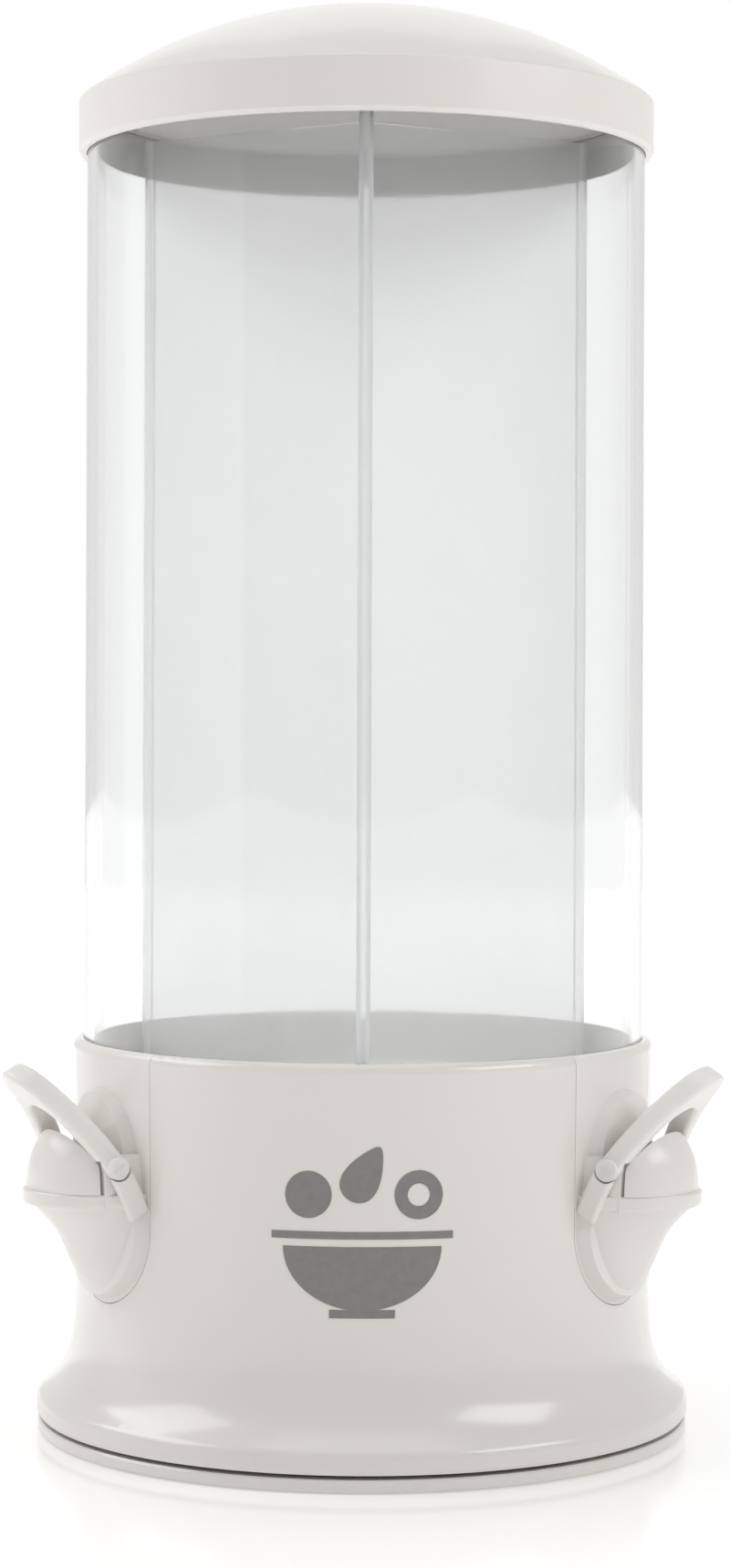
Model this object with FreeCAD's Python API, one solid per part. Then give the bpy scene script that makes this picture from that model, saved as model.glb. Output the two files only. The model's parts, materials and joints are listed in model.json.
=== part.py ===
import FreeCAD, Part

import math
import os

# Countertop snack and cereal dispenser: a clear three-compartment canister over a white
# housing with three lidded spouts, turning on a ball-bearing base.
# Millimetres, +Z up. The origin is on the floor, on the turning axis; the front faces -Y.

# ---- driving dimensions -------------------------------------------------------------
CLEARANCE = 0.15            # slip-in gap between mouldings
RUNNING = 0.05              # radial gap of a turning pin or hub

# canister and lid
TUBE_R = 64.0
TUBE_WALL = 2.2
TUBE_FOOT_Z = 77.5
TUBE_TOP_Z = 300.5
LID_R = 66.0
LID_RIM_Z = 290.9
LID_EDGE_Z = 302.5
LID_WALL = 1.8
LID_TOP_Z = 324.5
LID_SHOULDER = (65.6, 303.0)
LID_CORNER_WALL = 3.2       # extra thickness where the dome meets the skirt
LID_TOE = (0.7, 0.9)        # slanted edge at the skirt's rim: radius and height

# housing
HOUSING_TOP_Z = 89.0
HOUSING_TOP_R = 66.3
WAIST_R = 65.8
WAIST_Z = 32.0
HOUSING_BORE_R = 63.5
TUBE_SEAT_R = TUBE_R + CLEARANCE
FOOT_R = 74.4
FOOT_BOTTOM_Z = 3.9
FOOT_EDGE_Z = 7.2
FOOT_TOE = (0.5, 0.8)       # slanted edge under the foot: radius and height
FLARE = ((WAIST_R, WAIST_Z), (66.1, 23.3), (67.4, 17.0), (69.7, 12.8), (72.6, 9.7), (FOOT_R, FOOT_EDGE_Z))
FLARE_INNER = ((HOUSING_BORE_R, 34.0), (64.0, 24.0), (65.4, 16.6), (68.6, 11.4), (71.3, 9.2))
HOUSING_LIP = 2.0           # height of the rounded top edge
SHELF_R = 62.1
SHELF_Z = (73.5, 75.5)
LEDGE_R = 69.5              # inner radius of the ledge that stands on the bottom cover
LEDGE_TOP_Z = 9.6

# turntable base
PLATE_R = 74.2
PLATE_Z = (0.4, 3.0)
PLATE_EDGE = 0.4
FOOT_RING_R = (58.0, 64.0)
FOOT_RING_TOP_Z = 1.2
RACE_R = 38.0
BALL_R = 1.6
BALL_COUNT = 12
BALL_Z = 3.3
CAGE_R = (34.0, 42.0)
CAGE_Z = (3.2, 4.2)
HUB_R = 6.0
HUB_TOP_Z = 7.0
WASHER_R = 9.5
WASHER_TOP_Z = 7.8
SCREW_R = 1.4
SCREW_HEAD_R = 3.2
SCREW_HEAD_H = 1.8
RECESS_HALF = 1.6           # half length of a screw head's cross recess
COVER_R = 71.2
COVER_Z = (4.4, 6.4)
COVER_BOSS = 3.0            # wall of the cover's boss around the hub
COVER_SCREW_R = 52.0
COVER_SCREW_HEAD_H = 1.2
PILOT_DEPTH = 12.0
COVER_SCREW_REACH = 10.0
ACCESS_HOLE_R = 4.0         # in the base plate, to reach one cover screw at a time
RECESS_DEPTH = 0.9

# hopper floor
HOPPER_R = 61.9
HOPPER_WALL = 1.8
HOPPER_FLANGE_R = 63.3
HOPPER_BOTTOM_Z = 43.0
HOPPER_PEAK_Z = 82.0
HOPPER_SLOPE = 30.0
HOPPER_FLOOR = 2.0
POST_R = 4.0

# divider
WING = 2.0
WING_GAP = 0.2              # between a wing and the hopper's wall
FLOOR_GAP = 0.4             # under the divider
BEAD_R = 1.55
DIVIDER_TOP_Z = 299.0

# spouts: local axes are u outwards, v sideways, z up
SPOUT_ANGLES = {"left": 210.0, "right": 330.0, "rear": 90.0}
WING_ANGLES = (30.0, 150.0, 270.0)
PANEL_HALF = 18.0
PANEL_ARC_Z = 51.0
BACKING_R = (62.2, 63.4)
BACKING_HALF = 21.0
BACKING_Z = (30.0, 75.4)
PAD_R = 68.7
PAD_LOW = (18.0, 51.0)      # radius and height of the pad's lower arc
PAD_HIGH = (14.0, 67.8)     # radius and height of the pad's upper arc
PAD_REACH = (62.5, 69.5)
PAD_DRAFT = 0.35            # how far the pad's side leans in for each millimetre outwards
THROAT_HALF = 11.0
THROAT_Z = (45.5, 58.0)
THROAT_GAP = 0.5            # by which the hopper's window is larger than the throat
ROOT = 1.0                  # how deep the pad, scoop and ears start inside the panel
SCOOP_U = 64.0
SCOOP_LIP_Z = (55.4, 58.9)
SCOOP_LIP = (20.1, 16.8)    # reach beyond SCOOP_U and half width
SCOOP_LIP_WALL = 2.6
SCOOP_LIP_FLOOR = 1.5
SCOOP_WALL = 1.9
SCOOP_FLOOR_Z = 39.0
SCOOP_SECTIONS = (          # height, reach, half width
    (34.6, 2.6, 5.5),
    (37.5, 5.6, 9.4),
    (42.0, 8.3, 12.2),
    (46.5, 10.3, 14.1),
    (50.5, 13.0, 15.2),
    (53.2, 15.6, 15.8),
    (57.2, 18.9, 16.4),
)

# hinged hood and its lever, a strap that leans out from its pivot and bends further outwards
PIVOT_U = 70.6
PIVOT_Z = 64.75
LEVER_TILT = 60.0
LEVER_BEND_R = 75.6
LEVER_T = 5.0
LEVER_EDGE = 1.2
LEVER_BASE = (18.0, -1.0)   # half width and distance along, at the foot of the straight sides
LEVER_END = (7.0, 19.9)     # radius and centre of the rounded far end
LEVER_HOLE_BASE = (14.2, -1.0)
LEVER_HOLE_END = (7.5, 9.2)
LEVER_FACE_V = 17.4         # outer face of the arms beside the pivot
EAR_ROOM = (3.2, 15.4)      # the arms are thinner beside the ears: length and inner half width
HOOD_U = 70.0
HOOD_WALL = 1.6
HOOD_SECTIONS = (           # height, reach, half width
    (SCOOP_LIP_Z[1], 13.0, 15.3),
    (65.0, 12.3, 14.4),
    (69.2, 10.4, 12.5),
    (72.2, 7.7, 9.5),
    (74.0, 4.6, 5.8),
)
HOOD_CHEEK = (10.9, 12.5)
HOOD_NOTCH_U = 73.7
HOOD_NOTCH_H = 6.0
HOOD_EYE_R = 2.4
LUG_V = (12.7, 15.25)
LUG_R = 2.5
LUG_DEPTH = 6.8
CHEEK_V = (15.3, 17.9)
CHEEK_LENGTH = 11.5
CHEEK_EDGE = 0.9
PIN_R = 1.25
PIN_V = (HOOD_CHEEK[0] - 0.1, 17.0)

ORIGIN = FreeCAD.Vector(0, 0, 0)
UP = FreeCAD.Vector(0, 0, 1)
FAR = 200.0
PANEL_SWEEP = (40.0, 50.0)  # where the spout panel's outline starts, and how far it is swept


# ---- helpers ------------------------------------------------------------------------
def vec(x, y, z):
    return FreeCAD.Vector(x, y, z)


def disc(radius, low, high, x=0.0, y=0.0):
    return Part.makeCylinder(radius, high - low, vec(x, y, low))


def ring(inner, outer, low, high):
    return disc(outer, low, high).cut(disc(inner, low, high))


def block(u, v, z):
    return Part.makeBox(u[1] - u[0], v[1] - v[0], z[1] - z[0], vec(u[0], v[0], z[0]))


def turned(shape, angle):
    copy = shape.copy()
    copy.rotate(ORIGIN, UP, angle)
    return copy


def around(shape, angles):
    """Copies of a shape turned about the main axis, as one compound."""
    return Part.makeCompound([turned(shape, angle) for angle in angles])


def polar(radius, angle):
    return radius * math.cos(math.radians(angle)), radius * math.sin(math.radians(angle))


def line_chain(points):
    """Straight edges through (radius, height) points."""
    corners = [vec(r, 0, z) for r, z in points]
    return [Part.makeLine(a, b) for a, b in zip(corners, corners[1:])]


def curve(points, start=None, end=None):
    """A smooth edge through (radius, height) points, with optional end directions."""
    spline = Part.BSplineCurve()
    corners = [vec(r, 0, z) for r, z in points]
    if start and end:
        spline.interpolate(Points=corners, InitialTangent=vec(*start), FinalTangent=vec(*end))
    else:
        spline.interpolate(corners)
    return spline.toShape()


def revolved(edges):
    wire = Part.Wire(Part.__sortEdges__(edges))
    return Part.Face(wire).revolve(ORIGIN, UP, 360)


def prism(wire, start, length):
    """A (v, z) outline drawn at u = 0, swept outwards from u = start."""
    face = Part.Face(wire)
    face.translate(vec(start, 0, 0))
    return face.extrude(vec(length, 0, 0))


def u_outline(half, arc_z, top):
    """An upright U: a half circle below and straight sides up to the top."""
    arc = Part.Arc(vec(0, half, arc_z), vec(0, 0, arc_z - half), vec(0, -half, arc_z))
    left = Part.makeLine(vec(0, -half, arc_z), vec(0, -half, top))
    over = Part.makeLine(vec(0, -half, top), vec(0, half, top))
    right = Part.makeLine(vec(0, half, top), vec(0, half, arc_z))
    return Part.Wire([arc.toShape(), left, over, right])


def egg_points(low_r, low, high_r, high):
    """Tangent and end points, as (side, along), of the outline around two circles in a row."""
    lean = math.asin((low_r - high_r) / (high - low))
    low_side = (low_r * math.cos(lean), low + low_r * math.sin(lean))
    high_side = (high_r * math.cos(lean), high + high_r * math.sin(lean))
    return low_side, high_side


def egg_wire(low_r, low, high_r, high, place):
    """The outline around two circles in a row; place turns (side, along) into a point."""
    (low_v, low_t), (high_v, high_t) = egg_points(low_r, low, high_r, high)
    big = Part.Arc(place(low_v, low_t), place(0, low - low_r), place(-low_v, low_t))
    small = Part.Arc(place(-high_v, high_t), place(0, high + high_r), place(high_v, high_t))
    left = Part.makeLine(place(-low_v, low_t), place(-high_v, high_t))
    right = Part.makeLine(place(high_v, high_t), place(low_v, low_t))
    return Part.Wire([big.toShape(), left, small.toShape(), right])


def arch_wire(base, end, place):
    """A flat foot, straight sides and a round end; place turns (side, along) into a point."""
    half, low = base
    radius, centre = end
    reach = math.hypot(half, centre - low)
    bearing = math.acos(radius / reach) - math.atan2(centre - low, half)
    side = radius * math.cos(bearing)
    along = centre + radius * math.sin(bearing)
    over = Part.Arc(place(side, along), place(0, centre + radius), place(-side, along))
    left = Part.makeLine(place(-side, along), place(-half, low))
    foot = Part.makeLine(place(-half, low), place(half, low))
    right = Part.makeLine(place(half, low), place(side, along))
    return Part.Wire([over.toShape(), left, foot, right])


def oval(centre_u, reach, half, z):
    """A closed smooth oval in a level plane."""
    count = 16
    points = []
    for i in range(count):
        turn = 2 * math.pi * i / count
        points.append(vec(centre_u + reach * math.cos(turn), half * math.sin(turn), z))
    spline = Part.BSplineCurve()
    spline.interpolate(points, PeriodicFlag=True)
    return Part.Wire(spline.toShape())


def oval_loft(centre_u, sections, inset=0.0):
    wires = [oval(centre_u, reach - inset, half - inset, z) for z, reach, half in sections]
    return Part.makeLoft(wires, True, False)


def to_lever(shape):
    """Moves a shape from the lever's own axes (along, side, normal) to its place."""
    copy = shape.copy()
    copy.rotate(ORIGIN, vec(0, 1, 0), -LEVER_TILT)
    copy.translate(vec(PIVOT_U, 0, PIVOT_Z))
    return copy


def under_strap(offset):
    """The space on the outer side of the lever's middle surface, moved by an offset."""
    start = vec(0, -FAR / 2, -LEVER_BEND_R)
    return to_lever(Part.makeCylinder(LEVER_BEND_R + offset, FAR, start, vec(0, 1, 0)))


def strap():
    """The bent layer of space that the lever and the cheeks are cut from."""
    return under_strap(LEVER_T / 2).cut(under_strap(-LEVER_T / 2))


def pivot_rod(radius, v_range):
    """A pair of rods on the hood's pivot line, one on each side."""
    length = v_range[1] - v_range[0]
    rods = []
    for side in (1, -1):
        start = vec(PIVOT_U, side * v_range[0], PIVOT_Z)
        rods.append(Part.makeCylinder(radius, length, start, vec(0, side, 0)))
    return Part.makeCompound(rods)


def fused(shapes):
    return shapes[0].multiFuse(shapes[1:]).removeSplitter()


# ---- turntable base -----------------------------------------------------------------
def make_base_plate():
    plate = disc(PLATE_R, *PLATE_Z)
    rims = [e for e in plate.Edges if e.BoundBox.ZLength < PLATE_EDGE / 2]
    plate = plate.makeChamfer(PLATE_EDGE, rims)
    plate = plate.fuse(disc(HUB_R, PLATE_Z[1], HUB_TOP_Z))
    plate = plate.cut(ring(*FOOT_RING_R, PLATE_Z[0], FOOT_RING_TOP_Z))
    plate = plate.cut(Part.makeTorus(RACE_R, BALL_R + RUNNING, vec(0, 0, BALL_Z)))
    plate = plate.cut(disc(SCREW_R, PLATE_Z[0], HUB_TOP_Z))
    return plate.cut(disc(ACCESS_HOLE_R, *PLATE_Z, *polar(COVER_SCREW_R, WING_ANGLES[0])))


def make_foot_ring():
    return ring(*FOOT_RING_R, 0.0, FOOT_RING_TOP_Z)


def make_ball_cage():
    cage = ring(*CAGE_R, *CAGE_Z)
    pocket = disc(BALL_R + CLEARANCE, *CAGE_Z, x=RACE_R)
    return cage.cut(around(pocket, [i * 360 / BALL_COUNT for i in range(BALL_COUNT)]))


def make_balls():
    ball = Part.makeSphere(BALL_R, vec(RACE_R, 0, BALL_Z))
    return around(ball, [i * 360 / BALL_COUNT for i in range(BALL_COUNT)])


def make_pivot_washer():
    return ring(SCREW_R + CLEARANCE, WASHER_R, HUB_TOP_Z, WASHER_TOP_Z)


def cross_recess(low, high):
    arm = RECESS_HALF / 3
    long_way = block((-RECESS_HALF, RECESS_HALF), (-arm, arm), (low, high))
    return long_way.fuse(turned(long_way, 90))


def make_pivot_screw():
    head_top = WASHER_TOP_Z + SCREW_HEAD_H
    shank = disc(SCREW_R, PLATE_Z[0], WASHER_TOP_Z)
    head = disc(SCREW_HEAD_R, WASHER_TOP_Z, head_top)
    return shank.fuse(head).cut(cross_recess(head_top - RECESS_DEPTH, head_top)).removeSplitter()


# ---- housing group ------------------------------------------------------------------
def housing_wall():
    """The full outer wall, before the three spout slots are cut."""
    lip_in, lip_low = HOUSING_LIP * 0.6, HOUSING_TOP_Z - HOUSING_LIP
    top = [(HOUSING_TOP_R - lip_in, HOUSING_TOP_Z), (TUBE_SEAT_R, HOUSING_TOP_Z)]
    inner = [top[1], (TUBE_SEAT_R, TUBE_FOOT_Z), (HOUSING_BORE_R, TUBE_FOOT_Z), FLARE_INNER[0]]
    foot = [FLARE_INNER[-1], (FLARE_INNER[-1][0], FOOT_BOTTOM_Z)]
    foot += [(FOOT_R - FOOT_TOE[0], FOOT_BOTTOM_Z), (FOOT_R, FOOT_BOTTOM_Z + FOOT_TOE[1]), FLARE[-1]]
    shoulder = Part.Arc(
        vec(HOUSING_TOP_R, 0, lip_low),
        vec(HOUSING_TOP_R - lip_in / 3, 0, HOUSING_TOP_Z - lip_in * 0.6),
        vec(HOUSING_TOP_R - lip_in, 0, HOUSING_TOP_Z),
    )
    side = line_chain([(WAIST_R, WAIST_Z), (HOUSING_TOP_R, lip_low)])
    flare = curve(FLARE, start=(0.01, 0, -1), end=(0.1, 0, -1))
    flare_inner = curve(FLARE_INNER)
    edges = line_chain(top) + line_chain(inner) + [flare_inner] + line_chain(foot)
    return revolved(edges + [flare, shoulder.toShape()] + side)


def make_housing(wall):
    outline = u_outline(PANEL_HALF + CLEARANCE, PANEL_ARC_Z, HOUSING_TOP_Z + 1)
    slot = prism(outline, *PANEL_SWEEP)
    shelf = ring(SHELF_R, HOUSING_BORE_R, *SHELF_Z)
    gap = block((0, FAR), (-BACKING_HALF - 1, BACKING_HALF + 1), (0, FAR))
    shelf = shelf.cut(around(gap, SPOUT_ANGLES.values()))
    ledge = ring(LEDGE_R, FLARE_INNER[-1][0], COVER_Z[1], LEDGE_TOP_Z)
    return fused([wall, shelf, ledge]).cut(around(slot, SPOUT_ANGLES.values()))


def make_bottom_cover():
    cover = disc(COVER_R, *COVER_Z)
    cover = cover.fuse(disc(HUB_R + COVER_BOSS, COVER_Z[1], HUB_TOP_Z - RUNNING * 2))
    cover = cover.cut(disc(HUB_R + RUNNING, COVER_Z[0], HUB_TOP_Z))
    cover = cover.cut(Part.makeTorus(RACE_R, BALL_R + RUNNING, vec(0, 0, BALL_Z)))
    hole = disc(SCREW_R + CLEARANCE, *COVER_Z, x=COVER_SCREW_R)
    return cover.cut(around(hole, WING_ANGLES))


def make_cover_screws():
    tip = COVER_Z[1] + COVER_SCREW_REACH
    head_low = COVER_Z[0] - COVER_SCREW_HEAD_H
    screw = disc(SCREW_HEAD_R, head_low, COVER_Z[0]).fuse(disc(SCREW_R, COVER_Z[0], tip))
    screw = screw.cut(cross_recess(head_low, head_low + RECESS_DEPTH)).removeSplitter()
    screw.translate(vec(COVER_SCREW_R, 0, 0))
    return around(screw, WING_ANGLES)


def sector(half_angle=60.0):
    """A wedge of space about +u, from the axis outwards."""
    corners = [ORIGIN, vec(*polar(FAR, -half_angle), 0), vec(*polar(FAR, half_angle), 0), ORIGIN]
    return Part.Face(Part.makePolygon(corners)).extrude(UP * FAR)


def sloping_sheet():
    """One third of the hopper's floor, falling outwards to its throat."""
    sheet = Part.makeBox(FAR, FAR, HOPPER_FLOOR, vec(-FAR / 2, -FAR / 2, -HOPPER_FLOOR))
    sheet.rotate(ORIGIN, vec(0, 1, 0), HOPPER_SLOPE)
    sheet.translate(vec(0, 0, HOPPER_PEAK_Z))
    return sheet.common(sector()).common(disc(HOPPER_R - HOPPER_WALL / 2, 0, FAR))


def ridge_z(radius):
    """Height of the floor's ridge under a divider wing."""
    fall = math.tan(math.radians(HOPPER_SLOPE)) * math.cos(math.radians(60))
    return HOPPER_PEAK_Z - radius * fall


def make_hopper_floor():
    inner = HOPPER_R - HOPPER_WALL
    wall = ring(inner, HOPPER_R, HOPPER_BOTTOM_Z, TUBE_FOOT_Z)
    flange = ring(inner, HOPPER_FLANGE_R, SHELF_Z[1], TUBE_FOOT_Z)
    post_top = ridge_z(COVER_SCREW_R) - HOPPER_FLOOR / 2
    post = disc(POST_R, COVER_Z[1], post_top, x=COVER_SCREW_R)
    pilot = disc(SCREW_R, COVER_Z[1], COVER_Z[1] + PILOT_DEPTH, x=COVER_SCREW_R)
    sheets = [turned(sloping_sheet(), angle) for angle in SPOUT_ANGLES.values()]
    posts = [turned(post, angle) for angle in WING_ANGLES]
    body = fused([wall, flange] + sheets + posts).cut(around(pilot, WING_ANGLES))
    half = THROAT_HALF + THROAT_GAP
    heights = (THROAT_Z[0], THROAT_Z[1] + THROAT_GAP)
    window = block((HOPPER_R / 2, FAR), (-half, half), heights).cut(under_slope())
    return body.cut(around(window, SPOUT_ANGLES.values()))


def under_slope():
    """The space under the top face of one sloping sheet."""
    below = Part.makeBox(FAR * 2, FAR, FAR, vec(-FAR, -FAR / 2, -FAR))
    below.rotate(ORIGIN, vec(0, 1, 0), HOPPER_SLOPE)
    below.translate(vec(0, 0, HOPPER_PEAK_Z))
    return below


def make_canister():
    return ring(TUBE_R - TUBE_WALL, TUBE_R, TUBE_FOOT_Z, TUBE_TOP_Z)


def make_divider():
    inner = HOPPER_R - HOPPER_WALL - WING_GAP
    bead_u = TUBE_R - TUBE_WALL - CLEARANCE - BEAD_R
    step_z = TUBE_FOOT_Z + FLOOR_GAP
    outline = [
        (0, ridge_z(0) + FLOOR_GAP),
        (inner, ridge_z(inner) + FLOOR_GAP),
        (inner, step_z),
        (bead_u, step_z),
        (bead_u, DIVIDER_TOP_Z),
        (0, DIVIDER_TOP_Z),
    ]
    corners = [vec(r, -WING / 2, z) for r, z in outline]
    wing = Part.Face(Part.makePolygon(corners + corners[:1])).extrude(vec(0, WING, 0))
    bead = disc(BEAD_R, step_z, DIVIDER_TOP_Z, x=bead_u)
    wings = [turned(wing.fuse(bead), angle) for angle in WING_ANGLES]
    return fused(wings).cut(floor_pyramid(FLOOR_GAP))


def floor_pyramid(gap):
    """The hopper's floor as a solid pyramid, raised by a gap, to trim what stands on it."""
    below = under_slope().common(sector())
    below.translate(vec(0, 0, gap))
    return around(below, SPOUT_ANGLES.values())


# ---- spouts -------------------------------------------------------------------------
def pad_wire(inset=0.0):
    def place(side, along):
        return vec(0, side, along)
    return egg_wire(PAD_LOW[0] - inset, PAD_LOW[1], PAD_HIGH[0] - inset, PAD_HIGH[1], place)


def cheek_pair():
    """Fixed cheeks on the pad that carry on the line of the lever's arms below the pivot."""
    room = pivot_rod(LEVER_T / 2 + 2 * CLEARANCE, (LUG_V[1], FAR))
    cheeks = []
    for low, high in (CHEEK_V, (-CHEEK_V[1], -CHEEK_V[0])):
        bar = to_lever(block((-CHEEK_LENGTH, 0), (low, high), (-FAR / 4, FAR / 4))).common(strap())
        bar = bar.makeFillet(CHEEK_EDGE, [e for e in bar.Edges if e.Length > CHEEK_LENGTH / 2])
        cheeks.append(bar.cut(room))
    return cheeks


def oval_prism(reach, half, low, high):
    face = Part.Face(oval(SCOOP_U, reach, half, low))
    return face.extrude(vec(0, 0, high - low))


def scoop_lip():
    """The level rim around the scoop's mouth, rounded underneath."""
    under_edge, top_edge = 1.4, 0.5
    lip = oval_prism(*SCOOP_LIP, *SCOOP_LIP_Z)
    low = [e for e in lip.Edges if e.BoundBox.ZMax < SCOOP_LIP_Z[0] + top_edge]
    lip = lip.makeFillet(under_edge, low)
    high = [e for e in lip.Edges if e.BoundBox.ZMin > SCOOP_LIP_Z[1] - top_edge / 2]
    return lip.makeFillet(top_edge, high)


def scoop_outer():
    return oval_loft(SCOOP_U, SCOOP_SECTIONS).fuse(scoop_lip())


def scoop_inner():
    mouth_low = SCOOP_LIP_Z[0] + SCOOP_LIP_FLOOR
    mouth = [size - SCOOP_LIP_WALL for size in SCOOP_LIP]
    bowl = oval_loft(SCOOP_U, SCOOP_SECTIONS, inset=SCOOP_WALL)
    bowl = bowl.common(disc(FAR, SCOOP_FLOOR_Z, mouth_low + CLEARANCE))
    return bowl.fuse(oval_prism(*mouth, mouth_low, PIVOT_Z))


def lug_pair():
    """Ears on the scoop's rim that carry the hood's pins."""
    back, front = PIVOT_U - LUG_DEPTH, PIVOT_U + LUG_R - CLEARANCE
    ears = []
    for side in (1, -1):
        low, high = sorted((side * LUG_V[0], side * LUG_V[1]))
        root = block((back, front), (low, high), (SCOOP_LIP_Z[0], PIVOT_Z))
        web = block((back, PIVOT_U), (low, high), (PIVOT_Z, PIVOT_Z + LUG_R))
        eye = Part.makeCylinder(LUG_R, high - low, vec(PIVOT_U, low, PIVOT_Z), vec(0, 1, 0))
        ears.append(fused([root, eye, web]))
    return ears


def make_pad():
    """The raised egg-shaped pad around the throat, with sloping sides."""
    foot, top = pad_wire(), pad_wire(PAD_DRAFT * (PAD_REACH[1] - PAD_REACH[0]))
    foot.translate(vec(PAD_REACH[0], 0, 0))
    top.translate(vec(PAD_REACH[1], 0, 0))
    return ring(WAIST_R - ROOT, PAD_R, 0, FAR).common(Part.makeLoft([foot, top], True, True))


def make_spout(wall):
    panel = wall.common(prism(u_outline(PANEL_HALF, PANEL_ARC_Z, HOUSING_TOP_Z), *PANEL_SWEEP))
    backing = ring(*BACKING_R, *BACKING_Z)
    backing = backing.common(block((0, FAR), (-BACKING_HALF, BACKING_HALF), BACKING_Z))
    bond = ring(BACKING_R[1], WAIST_R - ROOT / 2, PANEL_ARC_Z - PANEL_HALF, BACKING_Z[1])
    bond = bond.common(prism(u_outline(PANEL_HALF, PANEL_ARC_Z, BACKING_Z[1]), *PANEL_SWEEP))
    plate = fused([panel, backing, bond, make_pad()])
    behind = disc(WAIST_R - ROOT, 0, FAR)
    scoop = scoop_outer().cut(behind).cut(scoop_inner().cut(disc(WAIST_R, 0, FAR)))
    ears = [ear.cut(behind) for ear in lug_pair() + cheek_pair()]
    spout = plate.multiFuse([scoop] + ears)
    throat = block((HOPPER_R - THROAT_HALF / 2, PAD_R), (-THROAT_HALF, THROAT_HALF), THROAT_Z)
    return spout.cut(throat).cut(pivot_rod(PIN_R + RUNNING, (HOOD_CHEEK[1], FAR)))


# ---- hood, lever and pins -----------------------------------------------------------
def lever_outline(base, end):
    """Everything in front of and behind one of the lever's two outlines."""
    def place(side, along):
        return vec(along, side, -FAR / 4)
    return to_lever(Part.Face(arch_wire(base, end, place)).extrude(vec(0, 0, FAR / 2)))


def make_lever():
    outline = lever_outline(LEVER_BASE, LEVER_END).cut(lever_outline(LEVER_HOLE_BASE, LEVER_HOLE_END))
    loop = outline.common(strap())
    loop = loop.makeFillet(LEVER_EDGE, [e for e in loop.Edges if e.Length > LEVER_T * 1.5])
    room_length, room_half = EAR_ROOM
    loop = loop.cut(to_lever(block((-FAR, 0), (-FAR, FAR), (-FAR, FAR))))
    loop = loop.cut(to_lever(block((-1, room_length), (-room_half, room_half), (-FAR, FAR))))
    eyes = pivot_rod(LEVER_T / 2, (room_half, LEVER_FACE_V))
    return loop.multiFuse(eyes.Solids).cut(pivot_rod(PIN_R, (HOOD_CHEEK[0], PIN_V[1])))


def hood_notches():
    """Room beside the hood for the scoop's ears."""
    low, high = HOOD_CHEEK[1], FAR
    near = (0, HOOD_NOTCH_U)
    heights = (0, PIVOT_Z + HOOD_NOTCH_H)
    return Part.makeCompound([block(near, (low, high), heights), block(near, (-high, -low), heights)])


def hood_dome():
    """The domed cover, cut off behind by the surface that the lever lies on."""
    front = block((PIVOT_U, FAR), (-FAR, FAR), (0, FAR))
    return oval_loft(HOOD_U, HOOD_SECTIONS).common(under_strap(-LEVER_T / 2)).common(front)


def hood_cavity():
    sections = [(z - HOOD_WALL, reach, half) for z, reach, half in HOOD_SECTIONS]
    cavity = oval_loft(HOOD_U, sections, inset=HOOD_WALL)
    cavity = cavity.common(under_strap(-LEVER_T / 2 - HOOD_WALL))
    split_u = HOOD_NOTCH_U + HOOD_WALL
    narrow = block((0, split_u), (-HOOD_CHEEK[0], HOOD_CHEEK[0]), (0, FAR))
    wide = block((split_u, FAR), (-FAR, FAR), (0, FAR))
    return cavity.common(narrow.fuse(wide))


def hood_ears():
    """The hood's two thin cheeks, from its rim up to the pin."""
    overlap = 0.1
    low, high = HOOD_CHEEK[0] - overlap, HOOD_CHEEK[1] - overlap
    near, heights = (PIVOT_U, PIVOT_U + HOOD_EYE_R), (SCOOP_LIP_Z[1], PIVOT_Z)
    webs = [block(near, (low, high), heights), block(near, (-high, -low), heights)]
    return pivot_rod(HOOD_EYE_R, (low, high)).Solids + webs


def make_hood():
    hood = hood_dome().cut(hood_notches()).cut(hood_cavity())
    hood = hood.multiFuse(hood_ears())
    return hood.cut(pivot_rod(PIN_R, (HOOD_CHEEK[0] - 1, PIN_V[1])))


def make_hinge_pins():
    return pivot_rod(PIN_R, PIN_V)


# ---- lid ----------------------------------------------------------------------------
def dome_edge(end_r, drop):
    """The lid's dome as one arc, from its outer end to the axis."""
    low = LID_SHOULDER[1] - drop
    high = LID_TOP_Z - drop
    radius = (end_r ** 2 + (high - low) ** 2) / (2 * (high - low))
    half_way = vec(end_r / 2, 0, high - radius + math.sqrt(radius ** 2 - end_r ** 2 / 4))
    return Part.Arc(vec(end_r, 0, low), half_way, vec(0, 0, high)).toShape()


def make_lid():
    skirt_r = TUBE_SEAT_R
    ledge_r = LID_SHOULDER[0] - LID_CORNER_WALL
    ledge_z = LID_SHOULDER[1] - LID_WALL
    rim = [(skirt_r, TUBE_TOP_Z), (skirt_r, LID_RIM_Z), (LID_R - LID_TOE[0], LID_RIM_Z)]
    rim += [(LID_R, LID_RIM_Z + LID_TOE[1]), (LID_R, LID_EDGE_Z), LID_SHOULDER]
    inside = [(ledge_r, ledge_z), (ledge_r, TUBE_TOP_Z), (skirt_r, TUBE_TOP_Z)]
    axis = [(0, LID_TOP_Z - LID_WALL), (0, LID_TOP_Z)]
    domes = [dome_edge(LID_SHOULDER[0], 0), dome_edge(ledge_r, LID_WALL)]
    return revolved(line_chain(rim) + line_chain(axis) + line_chain(inside) + domes)


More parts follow.
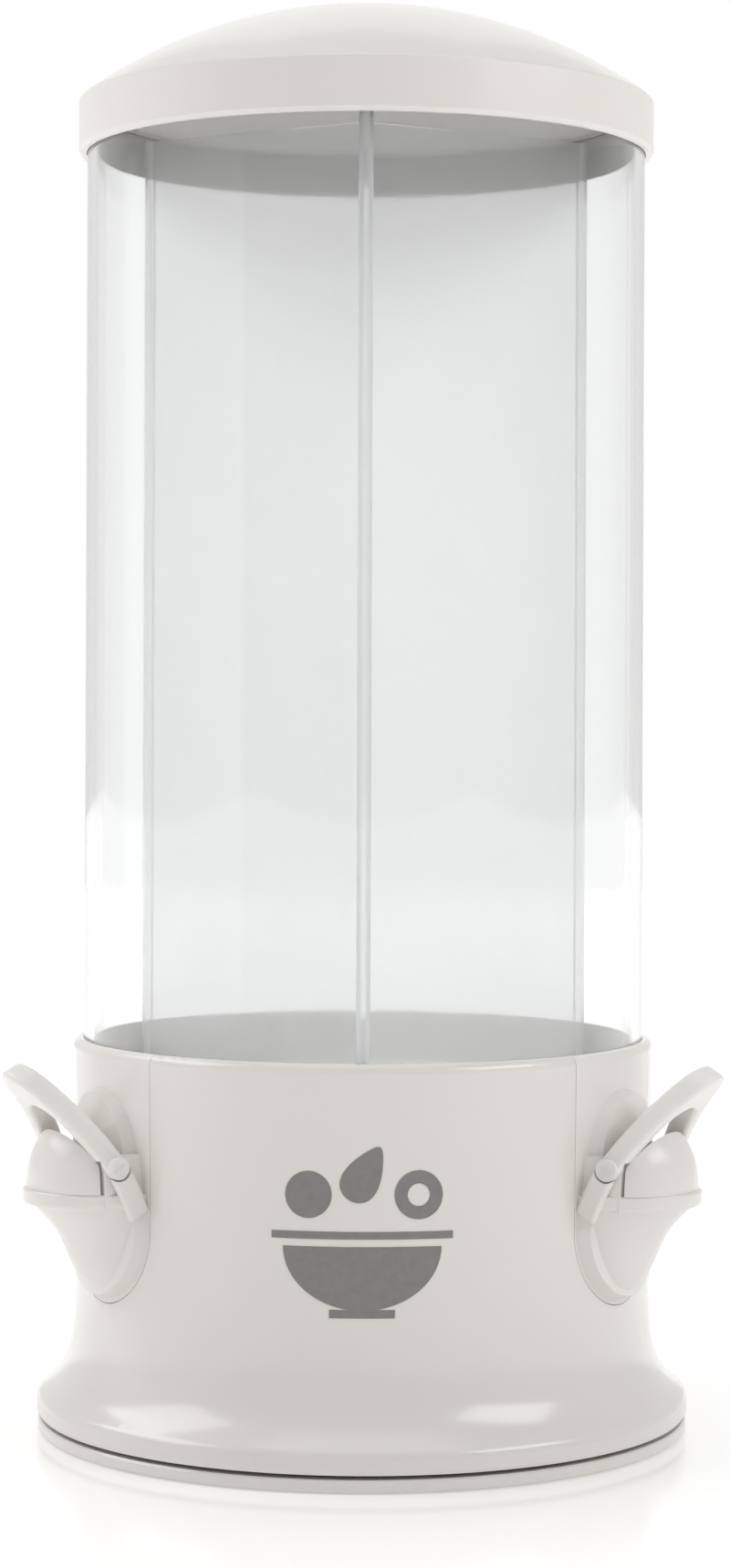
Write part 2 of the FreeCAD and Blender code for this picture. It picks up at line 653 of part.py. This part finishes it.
# ---- write every piece --------------------------------------------------------------
def main():
    wall = housing_wall()
    spout = make_spout(wall)
    hood = make_hood()
    lever = make_lever()
    pins = make_hinge_pins()
    nodes = {
        "base_plate": make_base_plate(),
        "foot_ring": make_foot_ring(),
        "ball_cage": make_ball_cage(),
        "bearing_balls": make_balls(),
        "pivot_washer": make_pivot_washer(),
        "pivot_screw": make_pivot_screw(),
        "housing": make_housing(wall),
        "bottom_cover": make_bottom_cover(),
        "cover_screws": make_cover_screws(),
        "hopper_floor": make_hopper_floor(),
        "canister": make_canister(),
        "divider": make_divider(),
        "lid": make_lid(),
    }
    for name, angle in SPOUT_ANGLES.items():
        nodes[name + "_spout"] = turned(spout, angle)
        nodes[name + "_hood"] = turned(hood, angle)
        nodes[name + "_lever"] = turned(lever, angle)
        nodes[name + "_hinge_pins"] = turned(pins, angle)
    os.makedirs("parts", exist_ok=True)
    for name, shape in nodes.items():
        shape.exportStep("parts/" + name + ".step")
        print(name, shape.isValid(), len(shape.Solids), round(shape.Volume, 1))


main()
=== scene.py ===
import json
import math

import bmesh
import bpy
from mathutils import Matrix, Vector


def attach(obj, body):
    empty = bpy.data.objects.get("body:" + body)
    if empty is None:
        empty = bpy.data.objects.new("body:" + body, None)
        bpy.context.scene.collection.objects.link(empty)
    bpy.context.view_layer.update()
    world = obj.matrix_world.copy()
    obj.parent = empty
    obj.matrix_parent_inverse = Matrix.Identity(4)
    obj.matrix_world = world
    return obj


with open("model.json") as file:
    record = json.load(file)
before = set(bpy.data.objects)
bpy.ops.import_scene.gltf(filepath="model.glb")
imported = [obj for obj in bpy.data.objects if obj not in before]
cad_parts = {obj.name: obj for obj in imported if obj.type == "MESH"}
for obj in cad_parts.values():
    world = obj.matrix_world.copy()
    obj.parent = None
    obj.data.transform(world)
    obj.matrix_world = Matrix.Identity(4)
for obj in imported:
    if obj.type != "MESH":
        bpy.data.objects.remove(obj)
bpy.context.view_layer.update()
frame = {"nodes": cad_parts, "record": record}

MM = 0.001
FINE_PEEL = (420.0, 0.02 * MM)      # noise scale and depth of a glossy moulding's skin
GRAIN_DEPTH = 0.06 * MM             # and the depth of a grained one's


# ---- node helpers -------------------------------------------------------------------
def new_material(name):
    material = bpy.data.materials.new(name)
    material.use_nodes = True
    tree = material.node_tree
    shader = tree.nodes["Principled BSDF"]
    return material, tree, shader


def add(tree, kind, **settings):
    """A node of the given kind; settings name its attributes or, failing that, its inputs."""
    node = tree.nodes.new(kind)
    for key, value in settings.items():
        if hasattr(node, key):
            setattr(node, key, value)
        else:
            node.inputs[key.replace("_", " ")].default_value = value
    return node


def object_noise(tree, scale, detail=3.0):
    """Noise that stays with the piece."""
    place = add(tree, "ShaderNodeTexCoord")
    noise = add(tree, "ShaderNodeTexNoise", Scale=scale, Detail=detail)
    tree.links.new(place.outputs["Object"], noise.inputs["Vector"])
    return noise.outputs["Fac"]


def remap(tree, value, low, high, start=0.0, end=1.0):
    """Turns a value between start and end into one between low and high."""
    node = add(tree, "ShaderNodeMapRange")
    node.inputs["From Min"].default_value = start
    node.inputs["From Max"].default_value = end
    node.inputs["To Min"].default_value = low
    node.inputs["To Max"].default_value = high
    tree.links.new(value, node.inputs["Value"])
    return node.outputs["Result"]


def two_tones(tree, factor, tone_a, tone_b):
    mix = add(tree, "ShaderNodeMix", data_type="RGBA")
    tree.links.new(factor, mix.inputs[0])
    mix.inputs[6].default_value = (*tone_a, 1)
    mix.inputs[7].default_value = (*tone_b, 1)
    return mix.outputs[2]


def bumped(tree, shader, height, distance, strength=0.3):
    bump = add(tree, "ShaderNodeBump", Strength=strength, Distance=distance)
    tree.links.new(height, bump.inputs["Height"])
    tree.links.new(bump.outputs["Normal"], shader.inputs["Normal"])


# ---- materials ----------------------------------------------------------------------
def moulded_plastic(name, tone, gloss, grain=0.0, coat=0.0, translucence=0.0):
    """Injection-moulded plastic: a faint flow mottle, uneven gloss and a slight orange peel."""
    material, tree, shader = new_material(name)
    mottle = object_noise(tree, 22.0)
    shade = tuple(channel * 0.975 for channel in tone)
    tree.links.new(two_tones(tree, mottle, shade, tone), shader.inputs["Base Color"])
    handling = object_noise(tree, 95.0, detail=4.0)
    tree.links.new(remap(tree, handling, gloss * 0.8, gloss * 1.25), shader.inputs["Roughness"])
    shader.inputs["IOR"].default_value = 1.49
    shader.inputs["Coat Weight"].default_value = coat
    shader.inputs["Coat Roughness"].default_value = gloss * 0.5
    shader.inputs["Subsurface Weight"].default_value = translucence
    shader.inputs["Subsurface Radius"].default_value = (1.0, 0.95, 0.9)
    shader.inputs["Subsurface Scale"].default_value = 2.5 * MM
    peel_scale, peel_depth = (grain, GRAIN_DEPTH) if grain else FINE_PEEL
    peel = object_noise(tree, peel_scale, detail=2.0)
    bumped(tree, shader, peel, peel_depth, 0.25)
    return material


def clear_plastic(name, tint, rough, clearness=1.0):
    """Clear or slightly milky moulding: lamps shine straight through it, but it keeps its gloss."""
    material, tree, shader = new_material(name)
    shader.inputs["Base Color"].default_value = (*tint, 1)
    shader.inputs["Transmission Weight"].default_value = clearness
    shader.inputs["IOR"].default_value = 1.45
    handling = object_noise(tree, 60.0, detail=5.0)
    tree.links.new(remap(tree, handling, rough * 0.4, rough * 1.6), shader.inputs["Roughness"])
    clear = add(tree, "ShaderNodeBsdfTransparent")
    clear.inputs["Color"].default_value = (*(channel * 0.96 for channel in tint), 1)
    path = add(tree, "ShaderNodeLightPath")
    mix = add(tree, "ShaderNodeMixShader")
    tree.links.new(path.outputs["Is Shadow Ray"], mix.inputs["Fac"])
    tree.links.new(shader.outputs["BSDF"], mix.inputs[1])
    tree.links.new(clear.outputs["BSDF"], mix.inputs[2])
    tree.links.new(mix.outputs["Shader"], tree.nodes["Material Output"].inputs["Surface"])
    return material


def metal(name, tone, rough):
    """Bright steel with fine turning marks."""
    material, tree, shader = new_material(name)
    shader.inputs["Metallic"].default_value = 1.0
    marks = object_noise(tree, 900.0, detail=6.0)
    shade = tuple(channel * 0.85 for channel in tone)
    tree.links.new(two_tones(tree, marks, shade, tone), shader.inputs["Base Color"])
    tree.links.new(remap(tree, marks, rough * 0.7, rough * 1.4), shader.inputs["Roughness"])
    bumped(tree, shader, marks, 0.01 * MM)
    return material


def rubber(name, tone):
    """Matt rubber with a pebbled grain."""
    material, tree, shader = new_material(name)
    grain = object_noise(tree, 700.0, detail=4.0)
    shade = tuple(channel * 0.7 for channel in tone)
    tree.links.new(two_tones(tree, grain, shade, tone), shader.inputs["Base Color"])
    tree.links.new(remap(tree, grain, 0.65, 0.85), shader.inputs["Roughness"])
    bumped(tree, shader, grain, 0.08 * MM, 0.6)
    return material


def printing_ink(name, tone):
    """Pad-printed grey ink: slightly uneven cover and a satin face."""
    material, tree, shader = new_material(name)
    cover = object_noise(tree, 600.0, detail=5.0)
    pale = tuple(min(channel * 1.35, 1.0) for channel in tone)
    tree.links.new(two_tones(tree, cover, tone, pale), shader.inputs["Base Color"])
    tree.links.new(remap(tree, cover, 0.3, 0.5), shader.inputs["Roughness"])
    bumped(tree, shader, cover, 0.01 * MM)
    return material


MATERIALS = {
    "white_body": moulded_plastic("white_body", (0.81, 0.785, 0.75), 0.21, coat=0.35),
    "white_spout": moulded_plastic("white_spout", (0.84, 0.815, 0.785), 0.215),
    "lever_white": moulded_plastic("lever_white", (0.86, 0.84, 0.81), 0.21, translucence=0.25),
    "clear_tube": clear_plastic("clear_tube", (0.985, 0.99, 0.99), 0.03),
    "clear_divider": clear_plastic("clear_divider", (0.975, 0.98, 0.98), 0.10, clearness=0.62),
    "inner_plastic": moulded_plastic("inner_plastic", (0.76, 0.74, 0.71), 0.5, grain=300.0),
    "cage_plastic": moulded_plastic("cage_plastic", (0.70, 0.69, 0.65), 0.5, grain=300.0),
    "steel": metal("steel", (0.62, 0.61, 0.60), 0.25),
    "foot_rubber": rubber("foot_rubber", (0.035, 0.034, 0.033)),
}


def dress_nodes():
    """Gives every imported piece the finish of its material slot."""
    for part in frame["record"]["subparts"]:
        piece = frame["nodes"][part["node"]]
        piece.data.materials.clear()
        piece.data.materials.append(MATERIALS[part["material_slot"]])


# ---- printed pictogram --------------------------------------------------------------
EMBLEM_Z = 53.5 * MM
EMBLEM_SKIN = 0.06 * MM
EMBLEM_STRIP = 1.2 * MM


def circle_outline(x, z, radius, count=40):
    turns = [2 * math.pi * i / count for i in range(count)]
    return [(x + radius * math.cos(t), z + radius * math.sin(t)) for t in turns]


def almond_outline(x, z, length, width, lean, count=40):
    """A nut shape: round at one end and drawn to a point at the other."""
    points = []
    for i in range(count):
        t = 2 * math.pi * i / count
        along = length / 2 * math.cos(t)
        across = width / 2 * math.sin(t) * (1 - 0.45 * math.cos(t))
        points.append((
            x + along * math.cos(lean) - across * math.sin(lean),
            z + along * math.sin(lean) + across * math.cos(lean),
        ))
    return points


def bowl_outline(x, z, half, depth, count=32):
    """A plain bowl seen from the side; its short foot is drawn separately."""
    points = []
    for i in range(count + 1):
        t = math.pi + math.pi * i / count
        points.append((x + half * math.cos(t), z + depth * math.sin(t)))
    return points


def bar_outline(x, z, half, thick):
    low, high = z - thick, z + thick
    return [(x - half, low), (x + half, low), (x + half, high), (x - half, high)]


WAIST = (32.0 * MM, 65.8 * MM)      # height and radius where the housing's straight side starts
RIM = (87.0 * MM, 66.3 * MM)        # and where it ends


def housing_radius(z):
    """The radius of the housing's straight side at a height."""
    share = (z - WAIST[0]) / (RIM[0] - WAIST[0])
    return WAIST[1] + share * (RIM[1] - WAIST[1])


def emblem():
    """A grey bowl with three different kibbles over it, printed on the housing's front."""
    loop_at = (12.0 * MM, 8.0 * MM)
    shapes = [
        (bowl_outline(0, -3.0 * MM, 17.0 * MM, 13.5 * MM), None),
        (bar_outline(0, -17.2 * MM, 7.0 * MM, 0.9 * MM), None),
        (bar_outline(0, -0.6 * MM, 19.5 * MM, 0.8 * MM), None),
        (circle_outline(-11.5 * MM, 8.0 * MM, 5.0 * MM), None),
        (almond_outline(0.5 * MM, 12.5 * MM, 13.0 * MM, 7.5 * MM, math.radians(60)), None),
        (circle_outline(*loop_at, 5.2 * MM), circle_outline(*loop_at, 2.4 * MM)),
    ]
    mesh = bpy.data.meshes.new("front_pictogram")
    sheet = bmesh.new()
    for outline, hole in shapes:
        loops = [outline] if hole is None else [outline, hole]
        edges = []
        for loop in loops:
            corners = [sheet.verts.new((x, 0, z)) for x, z in loop]
            edges += [sheet.edges.new((a, b)) for a, b in zip(corners, corners[1:] + corners[:1])]
        bmesh.ops.triangle_fill(sheet, use_beauty=True, edges=edges)
    reach = max(abs(v.co.x) for v in sheet.verts)
    steps = int(reach / EMBLEM_STRIP)
    for i in range(-steps, steps + 1):
        geometry = list(sheet.verts) + list(sheet.edges) + list(sheet.faces)
        cut_at = (i * EMBLEM_STRIP, 0, 0)
        bmesh.ops.bisect_plane(sheet, geom=geometry, plane_co=cut_at, plane_no=(1, 0, 0))
    radius = housing_radius(EMBLEM_Z)
    for vert in sheet.verts:
        x, z = vert.co.x, vert.co.z + EMBLEM_Z
        turn = x / radius
        skin = housing_radius(z) + EMBLEM_SKIN / 3
        vert.co = Vector((skin * math.sin(turn), -skin * math.cos(turn), z))
    for face in sheet.faces:
        if face.normal.y > 0:
            face.normal_flip()
    sheet.to_mesh(mesh)
    sheet.free()
    piece = bpy.data.objects.new("front_pictogram", mesh)
    bpy.context.scene.collection.objects.link(piece)
    thick = piece.modifiers.new("ink", "SOLIDIFY")
    thick.thickness = EMBLEM_SKIN
    thick.offset = 1.0
    mesh.materials.append(printing_ink("grey_ink", (0.20, 0.195, 0.19)))
    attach(piece, "housing")
    return piece


# ---- studio -------------------------------------------------------------------------
def plane(name, width, depth, place, turn, material):
    mesh = bpy.data.meshes.new(name)
    x, y = width / 2, depth / 2
    corners = [(-x, -y, 0), (x, -y, 0), (x, y, 0), (-x, y, 0)]
    mesh.from_pydata(corners, [], [(0, 1, 2, 3)])
    piece = bpy.data.objects.new(name, mesh)
    piece.location = place
    piece.rotation_euler = turn
    mesh.materials.append(material)
    bpy.context.scene.collection.objects.link(piece)
    return piece


def floor_material():
    """Pale glossy table top that glows, a painted light: the glow is weaker around the object than
    farther away, which paints shade around the object.
    """
    material, tree, shader = new_material("pale_floor")
    shader.inputs["Base Color"].default_value = (0.84, 0.835, 0.825, 1)
    shader.inputs["Roughness"].default_value = 0.14
    shader.inputs["Specular IOR Level"].default_value = 0.35
    shader.inputs["Emission Color"].default_value = (1, 1, 1, 1)
    place = add(tree, "ShaderNodeTexCoord")
    distance = add(tree, "ShaderNodeVectorMath", operation="LENGTH")
    tree.links.new(place.outputs["Object"], distance.inputs[0])
    # painted light: floor emission rises with distance from the object, so it reads as painted
    # shade near the object and a painted bright floor farther out
    painted_glow = remap(tree, distance.outputs["Value"], 0.22, 0.42, start=0.10, end=0.25)
    tree.links.new(painted_glow, shader.inputs["Emission Strength"])
    return material


def backdrop_material():
    material, tree, shader = new_material("white_backdrop")
    shader.inputs["Base Color"].default_value = (0, 0, 0, 1)
    shader.inputs["Specular IOR Level"].default_value = 0
    shader.inputs["Emission Color"].default_value = (1, 1, 1, 1)
    shader.inputs["Emission Strength"].default_value = 1.0
    return material


def softbox(name, place, aim, width, height, power):
    light = bpy.data.lights.new(name, "AREA")
    light.shape = "RECTANGLE"
    light.size = width
    light.size_y = height
    light.energy = power
    lamp = bpy.data.objects.new(name, light)
    lamp.location = place
    lamp.rotation_euler = (Vector(aim) - Vector(place)).to_track_quat("-Z", "Y").to_euler()
    bpy.context.scene.collection.objects.link(lamp)
    return lamp


def studio():
    world = bpy.data.worlds.new("studio")
    bpy.context.scene.world = world
    world.use_nodes = True
    tree = world.node_tree
    sky = tree.nodes["Background"]
    sky.inputs["Color"].default_value = (1.0, 0.995, 0.985, 1)
    place = add(tree, "ShaderNodeTexCoord")
    split = add(tree, "ShaderNodeSeparateXYZ")
    tree.links.new(place.outputs["Generated"], split.inputs["Vector"])
    tree.links.new(remap(tree, split.outputs["Y"], 0.42, 0.85), sky.inputs["Strength"])
    plane("floor", 8.0, 8.0, (0, 0, 0), (0, 0, 0), floor_material())
    plane("backdrop", 1.2, 3.0, (0, 2.2, 1.4), (math.radians(90), 0, 0), backdrop_material())
    middle = (0, 0, 0.16)
    softbox("left_softbox", (-0.75, 0.05, 0.72), middle, 0.8, 0.42, 3.0)
    softbox("right_softbox", (0.74, -0.38, 0.66), middle, 0.6, 0.36, 2.5)
    softbox("left_card", (-0.95, -0.15, 0.20), middle, 1.2, 0.5, 0.5)
    softbox("top_softbox", (0.0, -0.15, 1.1), middle, 0.8, 0.8, 1.5)


# ---- camera -------------------------------------------------------------------------
CAMERA_DISTANCE = 0.800
CAMERA_HEIGHT = 0.166
CAMERA_ROLL = -0.21         # degrees
CAMERA_SHIFT = (0.0005, -0.0532)
SENSOR = 36.0
FRAME_HEIGHT = 1719.0
FOCUS = 3809.0              # focal length, in the same unit as the frame's height


def camera():
    data = bpy.data.cameras.new("camera")
    data.sensor_fit = "VERTICAL"
    data.sensor_height = SENSOR
    data.lens = SENSOR * FOCUS / FRAME_HEIGHT
    data.shift_x, data.shift_y = CAMERA_SHIFT
    data.clip_start = 0.01
    eye = bpy.data.objects.new("camera", data)
    eye.location = (0, -CAMERA_DISTANCE, CAMERA_HEIGHT)
    eye.rotation_euler = (math.radians(90), math.radians(CAMERA_ROLL), 0)
    bpy.context.scene.collection.objects.link(eye)
    bpy.context.scene.camera = eye


dress_nodes()
emblem()
studio()
camera()
bpy.context.scene.view_settings.view_transform = "Standard"
